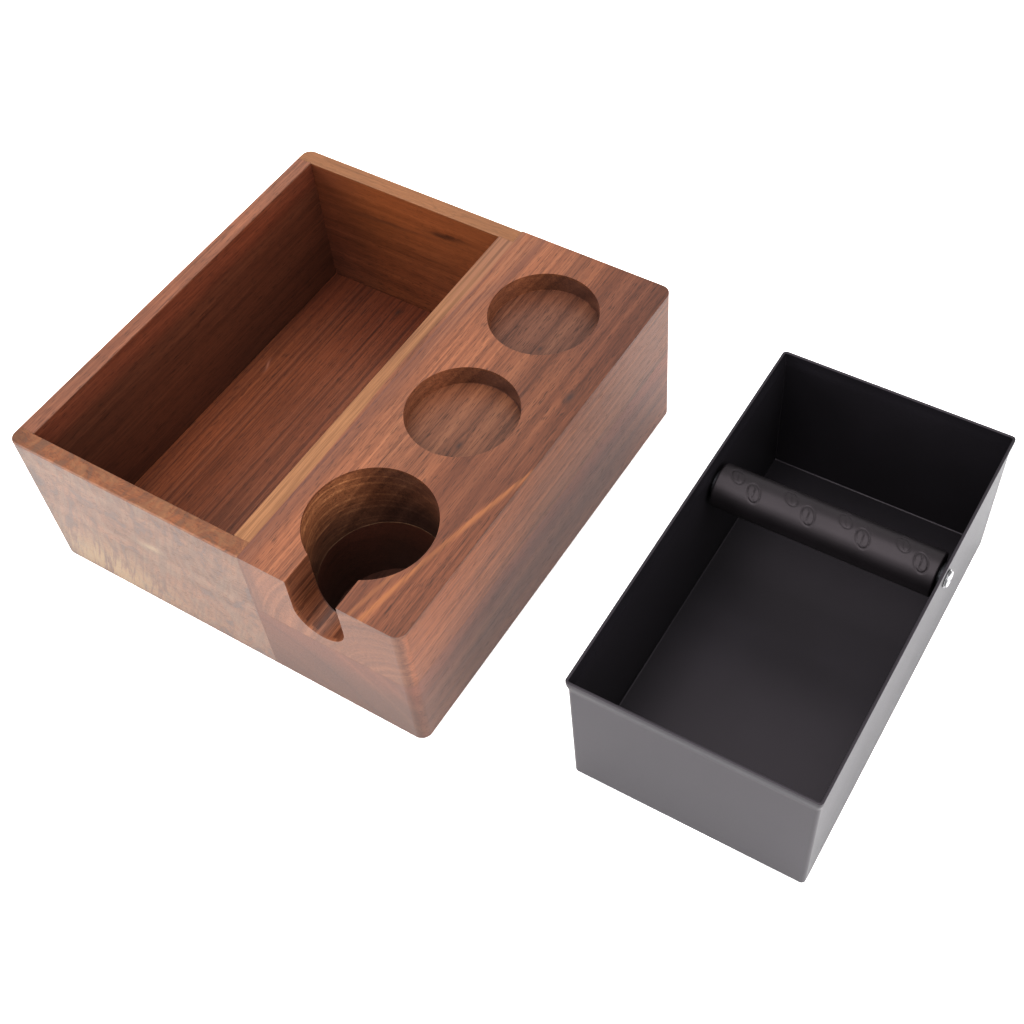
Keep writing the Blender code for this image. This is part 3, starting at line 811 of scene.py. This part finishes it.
def deep_well_painted_light_and_arcs(look, colour, at, under):
    """The deep well's wall: painted light on the left, painted shade on the right and low down, and pale
    grain arcs.
    """
    x, z = at["x"], at["z"]
    wall = look.mul(within(look, look.away(x, at["y"], WELL_X, DEEP_WELL), DEEP_RADIUS), under)
    arcs = look.noise_line(look.madd(look.madd(at["y"], 0.10, z), 0.42, 3.0), 1.0, 1.0, 0.5)
    # painted light on the wall's left side, then painted shade on its right side and low down where the
    # well is deep, then pale grain arcs
    for part, gains in ((look.smooth(x, 180.0, 166.0), (1.42, 1.55, 1.50)),
                        (look.smooth(x, 172.0, 196.0), (0.74, 0.80, 0.96)),
                        (look.smooth(z, 84.0, 60.0), (0.62, 0.66, 0.80)),
                        (look.smooth(arcs, 0.54, 0.66), (1.35, 1.45, 1.45))):
        colour = look.gain(look.mul(wall, part), colour, gains)
    return colour


def slot_marks(look, colour, at, under):
    """Dark stripes along the slot."""
    across = look.band(at["x"], 181.0, 182.5, 212.5, 214.0)
    slot = look.product(look.band(at["y"], 1.4, 2.4, 17.0, 20.0), across, under)
    stripes = look.noise_line(look.madd(at["z"], 0.55, 9.0), 1.0, 2.0, 0.6)
    return look.gain(look.mul(slot, look.smooth(stripes, 0.54, 0.44)), colour, (0.55, 0.48, 0.46))


def shallow_well_painted_shade(look, colour, at, under):
    """Painted shade in each shallow well: its recessed floor is darker by a share of its own, and its
    wall is darker on the right.
    """
    radius = SHALLOW_RADIUS / MM
    for well_y, floor_shade_gains in zip(SHALLOW_WELLS, ((0.90, 0.93, 0.97), (0.70, 0.73, 0.84))):
        away = look.away(at["x"], at["y"], WELL_X, well_y)
        wall = look.mul(look.band(away, radius - 0.6, radius - 0.2, radius + 0.4, radius + 0.8), under)
        floor = look.mul(look.smooth(away, radius - 0.1, radius - 0.6), under)
        # painted shade on the recessed floor
        colour = look.gain(floor, colour, floor_shade_gains)
        # painted shade on the wall's right side
        right = look.mul(wall, look.smooth(at["x"], 170.0, 200.0))
        colour = look.gain(right, colour, (0.70, 0.72, 0.92))
    return colour


def sapwood(look, colour, at, wobble):
    """Sapwood along the compartment, honey in front and tan at the back, and a dark line beside it."""
    x, y, streaks = at["x"], at["y"], at["streaks"]
    back = look.smooth(y, 170.0, 245.0)
    bend = look.add(x, look.product(back, at["push"], 2.5))
    edge = look.madd(wobble, 0.5, bend)
    drift = look.add(look.madd(back, -9.0, bend), look.madd(wobble, 2.0, -157.5))
    purple = look.math("EXPONENT", look.product(drift, drift, -0.10))
    colour = look.tint(colour, purple, 0.42, (0.082, 0.034, 0.026))
    swell = look.spot(x, y, (150.0, 150.0), (20.0, 55.0))
    sap = look.smooth(look.madd(swell, 2.4, edge), 153.4, 152.2)
    honey = look.mix(look.smooth(at["fine"], 0.32, 0.68), (0.170, 0.080, 0.034), (0.250, 0.126, 0.058))
    tan = look.mix(look.smooth(streaks, 0.40, 0.60), (0.115, 0.052, 0.030), (0.215, 0.105, 0.060))
    colour = look.tint(colour, sap, 0.95, look.mix(look.mul(back, 0.8), honey, tan))
    wide = look.product(look.smooth(bend, 168.0, 160.0), look.smooth(y, 150.0, 215.0),
                        look.smooth(streaks, 0.42, 0.58))
    colour = look.tint(colour, wide, 0.55, (0.205, 0.096, 0.054))
    dip = look.mul(look.spot(bend, y, (148.0, 160.0), (9.0, 34.0)), look.smooth(streaks, 0.62, 0.40))
    colour = look.gain(dip, colour, (0.72, 0.66, 0.64))
    beside = look.band(edge, 152.8, 153.6, 154.2, 155.6)
    return look.tint(colour, beside, look.madd(back, -0.35, 0.50), (0.070, 0.030, 0.027))


def pale_streaks(look, colour, at, wobble, on_top):
    """A pale streak at the front right, a shorter one beside it, and darker wood to their left."""
    x, y = at["x"], at["y"]
    bow = look.math("SINE", look.mul(y, math.pi / 115.0))
    slant = look.madd(look.add(x, -226.0), 0.979, look.mul(y, -0.204))
    line = look.add(slant, look.madd(wobble, 0.6, look.mul(bow, 1.6)))
    shadow = look.product(look.smooth(line, -0.6, -2.5), look.smooth(x, 204.0, 224.0),
                          look.smooth(y, 140.0, 90.0), on_top)
    colour = look.tint(colour, shadow, 0.42, (0.078, 0.027, 0.015))
    streak = look.product(look.band(line, -1.0, 0.0, 0.5, 3.4), look.smooth(y, 135.0, 105.0), on_top,
                          look.madd(look.smooth(at["streaks"], 0.40, 0.60), 0.35, 0.42))
    colour = look.mix(streak, colour, (0.250, 0.104, 0.040))
    second = look.product(look.band(line, -7.5, -6.0, -5.2, -3.6), look.smooth(y, 62.0, 25.0), on_top)
    return look.tint(colour, second, 0.45, (0.245, 0.104, 0.044))


def top_marks_and_painted_light(look, colour, at):
    """The top slab: painted light and shade in its wells, stripes in its slot, its sapwood and pale
    streaks, a darker far corner on top, and painted light on its right and front faces.
    """
    x, y, z = at["x"], at["y"], at["z"]
    wobble = look.centred(at["fine"], 2.2)
    on_top = look.smooth(z, TOP_FACE - 3.0, TOP_FACE - 0.5)
    below = look.smooth(z, TOP_FACE - 0.5, TOP_FACE - 3.0)
    under = look.smooth(z, TOP_FACE - 1.0, TOP_FACE - 2.0)
    colour = darker_right(look, colour, at, on_top)
    colour = deep_well_painted_light_and_arcs(look, colour, at, under)
    colour = slot_marks(look, colour, at, under)
    colour = shallow_well_painted_shade(look, colour, at, under)
    colour = sapwood(look, colour, at, wobble)
    colour = pale_streaks(look, colour, at, wobble, on_top)
    corner = look.product(look.smooth(x, 213.0, 228.0), look.smooth(y, 165.0, 205.0), on_top)
    colour = look.gain(corner, colour, (0.84, 0.84, 0.92))
    # painted light on the right face, strongest towards the front
    right = look.product(look.smooth(x, 248.5, 249.6), below, look.smooth(y, 250.0, 130.0))
    colour = look.gain(right, colour, (1.30, 1.22, 1.08))
    # painted light on the front face
    colour = look.gain(look.mul(look.smooth(y, 1.2, 0.4), below), colour, (1.12, 1.15, 1.16))
    smudge = look.spot(x, y, (226.0, 215.0), (3.0, 9.0))
    return look.tint(colour, smudge, 0.30, (0.060, 0.026, 0.019))


def top_edge(look, z):
    """1 on a board's top edge, and 0 on its faces."""
    return look.smooth(z, TOP_FACE - 1.5, TOP_FACE - 0.2)


def faces(look, z):
    """1 on a board's faces, and 0 on its top edge."""
    return look.smooth(z, TOP_FACE - 0.3, TOP_FACE - 2.0)


def base_tone_and_painted_shade(look, colour, at):
    """The base slab: lighter towards the back and up its faces and darker towards the bottom, painted
    shade inside the deep well, and the glue line round the well, painted pale as a highlight along the
    joint.
    """
    y, z = at["y"], at["z"]
    inside = within(look, look.away(at["x"], y, WELL_X, DEEP_WELL), DEEP_RADIUS)
    # the last gain is painted shade inside the deep well
    for mask, gains in ((look.smooth(y, 50.0, 110.0), (1.18, 1.08, 1.04)),
                        (look.smooth(y, 200.0, 245.0), (1.14, 1.20, 1.22)),
                        (look.smooth(z, 25.0, 50.0), (1.26, 1.16, 1.16)),
                        (look.mul(look.smooth(z, 40.0, 8.0), 0.6), (0.84, 0.86, 0.90)),
                        (inside, (0.85, 0.85, 0.95))):
        colour = look.gain(mask, colour, gains)
    # the glue line at the slab joint, painted pale as a highlight along it
    line = look.mul(inside, look.smooth(look.add(z, -SLAB_JOINT / MM), -0.9, -0.5))
    patchy = look.smooth(at["streaks"], 0.35, 0.60)
    return look.tint(colour, line, look.madd(patchy, 0.5, 0.4), (0.42, 0.28, 0.18))


def burl_figure_and_painted_light(look, colour, at):
    """Feather figure on the front board, palest low on the left, with a painted sheen on its faces and
    painted shade at its left end.
    """
    x, y, z = at["x"], at["y"], at["z"]
    place = look.join(look.madd(z, 0.03, 2.0), look.mul(x, 0.055), look.mul(y, 0.05))
    feather = look.noise(place, 1.0, 4.0, 0.6, 2.2)
    lean = look.madd(x, 0.30, look.mul(z, -0.11))
    ribs = look.noise(look.join(lean, look.mul(z, 0.03), look.mul(y, 0.1)), 1.0, 3.0, 0.6, 0.8)
    colour = look.tint(colour, look.smooth(feather, 0.40, 0.64), 0.60, (0.150, 0.088, 0.055))
    colour = look.tint(colour, look.smooth(feather, 0.48, 0.36), 0.60, (0.080, 0.052, 0.042))
    colour = look.tint(colour, look.smooth(ribs, 0.56, 0.40), 0.35, (0.085, 0.044, 0.030))
    patch = look.mul(look.spot(x, z, (38.0, 14.0), (40.0, 17.0)), look.smooth(ribs, 0.34, 0.58))
    spindle = look.spot(x, look.madd(x, -0.10, look.add(z, 8.5)), (85.0, 60.0), (7.0, 3.0))
    colour = look.tint(colour, patch, 0.70, (0.235, 0.140, 0.070))
    colour = look.tint(colour, spindle, 0.60, (0.25, 0.16, 0.09))
    # painted sheen on the board's faces, greyer than its top edge
    colour = look.gain(faces(look, z), colour, (0.99, 1.18, 1.34))
    colour = look.gain(top_edge(look, z), colour, (1.26, 1.12, 0.88))
    # painted shade at the rounded left end
    left_end_shade = look.mul(look.smooth(x, 16.0, 4.0), look.smooth(y, 9.0, 7.0))
    return look.gain(left_end_shade, colour, (0.76, 0.76, 0.78))


def back_figure_and_painted_light(look, colour, at):
    """A dark spindle figure on the compartment's back wall, painted light warming it towards the top,
    painted shade near the left corner, and a paler top edge.
    """
    x, z = at["x"], at["z"]
    level = look.add(look.madd(x, -0.07, z), look.centred(at["streaks"], 8.0))
    # painted light: warmer and lighter towards the top of the wall
    colour = look.tint(colour, look.smooth(z, 20.0, 85.0), 0.45, (0.215, 0.072, 0.020))
    spindle = look.spot(x, level, (104.0, 73.7), (13.0, 1.5))
    tail = look.spot(x, level, (62.0, 69.0), (42.0, 1.2))
    colour = look.tint(colour, tail, 0.45, (0.045, 0.016, 0.009))
    colour = look.tint(colour, spindle, 0.75, (0.025, 0.009, 0.005))
    # painted shade near the compartment's left corner
    corner = look.mul(look.smooth(x, 60.0, 12.0), faces(look, z))
    colour = look.gain(corner, colour, (0.78, 0.76, 0.95))
    return look.gain(top_edge(look, z), colour, (0.98, 1.32, 1.62))


def side_painted_light(look, colour, at):
    """Painted light on the upper part of the side board, where light from the right reaches over the
    block, and a paler top edge.
    """
    # painted light on the board's upper part
    colour = look.gain(look.smooth(at["z"], 78.0, 88.0), colour, (1.38, 1.24, 1.20))
    return look.gain(top_edge(look, at["z"]), colour, (1.08, 1.40, 1.50))


def floor_figure_and_painted_shade(look, colour, at):
    """Lengthwise stripes and a pale curl on the compartment's floor, and painted shade towards the back
    wall.
    """
    x, y = at["x"], at["y"]
    bend = look.madd(at["push"], 0.4, x)
    stripes = look.noise_line(look.mul(bend, 0.42), 1.0, 3.0, 0.65)
    colour = look.tint(colour, look.smooth(stripes, 0.48, 0.34), 0.60, (0.075, 0.024, 0.013))
    colour = look.tint(colour, look.smooth(stripes, 0.56, 0.70), 0.55, (0.215, 0.085, 0.046))
    swing = look.madd(look.math("SINE", look.mul(look.add(y, -164.0), 0.34)), 1.3, x)
    curl = look.spot(swing, y, (21.0, 164.0), (0.8, 4.5))
    colour = look.tint(colour, curl, 0.65, (0.34, 0.16, 0.11))
    # painted shade towards the back wall
    return look.gain(look.smooth(y, 165.0, 240.0), colour, (0.66, 0.57, 0.57))


def toned(gain, shift=(1.0, 1.0, 1.0)):
    """The walnut's three colours, made lighter or darker, and shifted in hue."""
    return tuple(tuple(c * gain * s for c, s in zip(colour, shift)) for colour in WALNUT)


def woods():
    """One walnut for each board, every one with its own pith, so that no two look alike."""
    top_knots = ((241.0, 166.0, 3.0), (202.0, 119.0, 2.0), (203.0, 197.0, 1.5))
    boards = {
        "walnut_top": dict(grain="Y", tones=WALNUT, pith=(262.0, 25.0), spacing=6.0, wander=2.0,
                           knots=top_knots, marks=top_marks_and_painted_light),
        "walnut_base": dict(grain="Y", tones=toned(0.67, (1.0, 0.98, 1.07)), pith=(120.0, -90.0),
                            spacing=12.0, marks=base_tone_and_painted_shade, contrast=0.7, seed=11.0),
        "walnut_burl": dict(grain="X", tones=toned(0.80), pith=(-40.0, 260.0), spacing=16.0,
                            wander=5.0, marks=burl_figure_and_painted_light, contrast=0.8, seed=23.0, curl=9.0),
        "walnut_back": dict(grain="X", tones=toned(0.98, (1.0, 0.86, 0.72)), pith=(210.0, 190.0),
                            spacing=8.0, wander=5.0, marks=back_figure_and_painted_light, seed=31.0, curl=3.0),
        "walnut_side": dict(grain="Y", tones=toned(0.61, (1.0, 0.86, 0.89)), pith=(-90.0, 30.0),
                            spacing=7.0, wander=2.0, marks=side_painted_light, seed=43.0),
        "walnut_floor": dict(grain="Y", tones=toned(1.01, (1.0, 0.82, 0.71)), pith=(60.0, -260.0),
                             spacing=7.0, wander=1.6, knots=((66.0, 240.0, 2.0),),
                             marks=floor_figure_and_painted_shade, seed=57.0),
    }
    return {name: walnut(name, **settings) for name, settings in boards.items()}


def bin_plastic():
    """Black plastic with a fine spark texture and slight patchiness in its gloss."""
    look = Look("bin_plastic")
    point = look.point()
    grain = look.noise(point, 2.6, 2.0, 0.6)
    patch = look.noise(point, 0.02, 2.0, 0.5)
    colour = look.mix(look.smooth(patch, 0.3, 0.7), (0.0122, 0.0110, 0.0134), (0.0154, 0.0138, 0.0170))
    colour = look.tint(colour, look.smooth(grain, 0.55, 0.75), 0.4, (0.019, 0.015, 0.0195))
    look.set("Base Color", colour)
    look.set("Roughness", look.add(look.madd(grain, 0.10, 0.32), look.mul(patch, 0.06)))
    look.set("Specular Tint", (1.0, 0.90, 0.97, 1.0))
    height = look.split(point)[2]
    rim = look.band(height, 79.6, 82.0, 87.6, 88.3)
    look.set("Specular IOR Level", look.madd(rim, -0.14, 0.5))
    look.bump(grain, 0.10, 0.00008)
    return look.material


def sleeve_rubber():
    """Black rubber with a matt bloom."""
    look = Look("bar_rubber")
    point = look.point()
    grain = look.noise(point, 3.2, 3.0, 0.6)
    bloom = look.noise(point, 0.06, 3.0, 0.55)
    colour = look.mix(look.smooth(bloom, 0.3, 0.72), (0.0088, 0.0072, 0.0082), (0.0120, 0.0098, 0.0112))
    look.set("Base Color", colour)
    look.set("Roughness", look.madd(grain, 0.12, 0.38))
    look.set("Specular Tint", (1.0, 0.90, 0.95, 1.0))
    look.set("Specular IOR Level", 0.45)
    look.bump(grain, 0.12, 0.00010)
    return look.material


def steel(name, tone, roughness):
    """Turned or plated steel, with fine marks round its axis."""
    look = Look(name)
    point = look.point(INTO_BIN @ BAR)
    x, y, z = look.split(point)
    lines = look.noise_line(look.madd(x, 0.8, look.hypot(y, z)), 9.0, 2.0, 0.6)
    smear = look.noise(point, 0.9, 3.0, 0.6)
    colour = look.mix(look.smooth(smear, 0.3, 0.7), tuple(0.86 * c for c in tone), tone)
    look.set("Base Color", colour)
    streaky = look.madd(lines, 0.10, roughness - 0.05)
    look.set("Roughness", look.madd(smear, 0.06, streaky))
    look.set("Metallic", 1.0)
    look.bump(lines, 0.10, 0.00004)
    return look.material


def dowel_beech():
    """Pale beech, with its fibres along the dowel."""
    look = Look("dowel_beech")
    x, y, z = look.split(look.point())
    fibre = look.noise(look.join(look.mul(x, 2.2), look.mul(y, 0.12), look.mul(z, 2.2)), 1.0, 3.0, 0.55)
    tones = [(0.25, (0.36, 0.22, 0.12)), (0.55, (0.52, 0.35, 0.20)), (0.8, (0.60, 0.43, 0.27))]
    look.set("Base Color", look.ramp(fibre, tones))
    look.set("Roughness", look.madd(fibre, 0.15, 0.50))
    look.bump(fibre, 0.2, 0.0001)
    return look.material


def foot_rubber():
    """Matt dark rubber."""
    look = Look("foot_rubber")
    point = look.point()
    grain = look.noise(point, 3.0, 3.0, 0.6)
    colour = look.mix(look.smooth(grain, 0.35, 0.7), (0.020, 0.020, 0.020), (0.032, 0.031, 0.030))
    look.set("Base Color", colour)
    look.set("Roughness", look.madd(grain, 0.15, 0.62))
    look.bump(grain, 0.2, 0.0001)
    return look.material


# Put together ----------------------------------------------------

LOOKS = woods()
LOOKS["bin_plastic"] = bin_plastic()
LOOKS["bar_rubber"] = sleeve_rubber()
LOOKS["rod_steel"] = steel("rod_steel", (0.055, 0.055, 0.060), 0.42)
LOOKS["screw_steel"] = steel("screw_steel", (0.58, 0.58, 0.59), 0.30)
LOOKS["dowel_beech"] = dowel_beech()
LOOKS["foot_rubber"] = foot_rubber()


def stand_for(piece, node, slot_name, body):
    """Give a piece its material, and let it replace its CAD node on a body."""
    piece.data.materials.clear()
    piece.data.materials.append(LOOKS[slot_name])
    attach(piece, body)
    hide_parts(node)


for node, (piece, slot_name) in station().items():
    stand_for(piece, node, slot_name, "station")
stand_for(bin_shell(), "bin_shell", "bin_plastic", "bin")
stand_for(knock_sleeve(), "bar_sleeve", "bar_rubber", "bin")

KEPT_NODES = {"floor_board": "walnut_floor", "dowel": "dowel_beech", "foot": "foot_rubber",
              "bar_core": "rod_steel", "bar_spacer": "rod_steel", "screw_washer": "screw_steel",
              "bar_screw": "screw_steel"}
for name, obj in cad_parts.items():
    for start, slot_name in KEPT_NODES.items():
        if name.startswith(start):
            obj.data.materials.clear()
            obj.data.materials.append(LOOKS[slot_name])


# Stage -----------------------------------------------------------

FLOOR_SIZE = 4.0
FLOOR_GLOW = 0.5
WORLD_STRENGTH = 1.5
GAMMA = 0.75


def pale_floor():
    """The white sweep that the station stands on."""
    bm = bmesh.new()
    bmesh.ops.create_grid(bm, x_segments=1, y_segments=1, size=FLOOR_SIZE)
    floor = add_object("studio_floor", bm)
    look = Look("studio_floor")
    tint = look.noise(look.point(scale=1.0), 3.0, 2.0, 0.5)
    look.set("Base Color", look.mix(tint, (0.86, 0.86, 0.86), (0.88, 0.88, 0.88)))
    look.set("Roughness", 0.9)
    look.set("Specular IOR Level", 0.2)
    look.set("Emission Color", (1.0, 1.0, 1.0, 1.0))
    look.set("Emission Strength", FLOOR_GLOW)
    floor.data.materials.append(look.material)


# Each light's name, bearing and height in degrees, and power in watts.
STUDIO_LIGHTS = (("right_low", 0, 22, 30), ("overhead", 0, 90, 23), ("front_left_low", 225, 22, 34),
                 ("front_high", 270, 55, 26))
LIGHT_DISTANCE = 2.4
LIGHT_SIZE = 1.3


def area_light(name, bearing, height, watts):
    """A square soft box on a sphere about the model's origin, facing it."""
    light = bpy.data.lights.new(name, "AREA")
    light.shape = "SQUARE"
    light.size = LIGHT_SIZE
    light.energy = watts
    obj = bpy.data.objects.new(name, light)
    level = math.cos(height)
    toward = Vector((level * math.cos(bearing), level * math.sin(bearing), math.sin(height)))
    obj.location = toward * LIGHT_DISTANCE
    obj.rotation_euler = (-toward).to_track_quat("-Z", "Y").to_euler()
    obj.visible_camera = False
    bpy.context.scene.collection.objects.link(obj)


def studio():
    """White surroundings, the soft boxes, and the way that brightness is shown."""
    scene = bpy.context.scene
    world = bpy.data.worlds.new("studio")
    world.use_nodes = True
    background = world.node_tree.nodes["Background"]
    background.inputs["Color"].default_value = (1.0, 1.0, 1.0, 1)
    background.inputs["Strength"].default_value = WORLD_STRENGTH
    scene.world = world
    for name, bearing, height, watts in STUDIO_LIGHTS:
        area_light(name, math.radians(bearing), math.radians(height), watts)
    scene.view_settings.view_transform = "Standard"
    scene.view_settings.look = "None"
    scene.view_settings.gamma = GAMMA


# The camera's place is from the station's front-left corner.
CAMERA_PLACE = (0.52576, -0.25791, 0.67254)
CAMERA_TURN = (35.2989, 2.9134, 31.4951)
CAMERA_LENS = 52.0293
CAMERA_SHIFT = (-0.041325, 0.047828)


def camera():
    data = bpy.data.cameras.new("camera")
    data.sensor_width = 36.0
    data.lens = CAMERA_LENS
    data.shift_x, data.shift_y = CAMERA_SHIFT
    data.clip_start = 0.01
    data.clip_end = 20.0
    obj = bpy.data.objects.new("camera", data)
    obj.location = CORNER + Vector(CAMERA_PLACE)
    obj.rotation_euler = Euler([math.radians(angle) for angle in CAMERA_TURN], "XYZ")
    bpy.context.scene.collection.objects.link(obj)
    bpy.context.scene.camera = obj


pale_floor()
studio()
camera()
